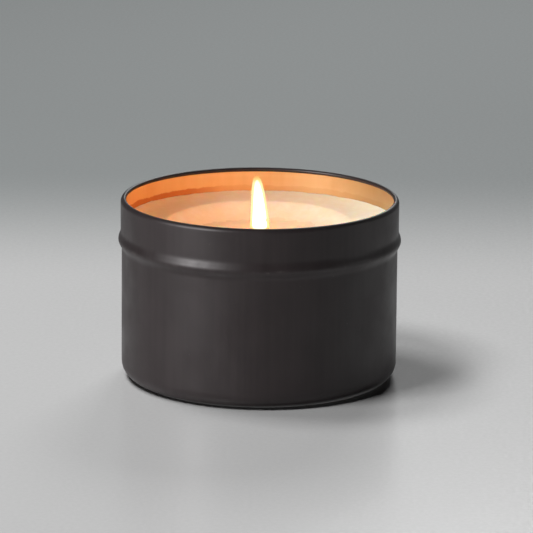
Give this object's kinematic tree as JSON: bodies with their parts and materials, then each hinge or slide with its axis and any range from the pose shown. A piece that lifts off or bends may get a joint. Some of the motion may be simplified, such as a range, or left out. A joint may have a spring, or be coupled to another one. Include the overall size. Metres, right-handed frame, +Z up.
{
  "type": "candle tin",
  "caption": "Round seamless candle tin with an inward-curled rim and a lid-stop bead, filled with wax that has a shallow burned dish around a single bent wick.",
  "frame": {"origin": "centre of the circle that the tin stands on", "axes": "+Z up along the tin's axis; the wick's tip leans towards +X"},
  "size_m": [0.079, 0.079, 0.051],
  "materials": {
    "tin": "matte black lacquer outside, pale gold food-can lacquer inside",
    "wax": "cream wax, satin",
    "wick_cotton": "braided cotton, charred at the tip",
    "tab_steel": "bright tinplate",
    "foam": "white foam"
  },
  "bodies": {
    "root": {"tin_cup": "tin", "wax_fill": "wax", "wick": "wick_cotton", "wick_tab": "tab_steel", "wick_sticker": "foam"}
  },
  "joints": []
}
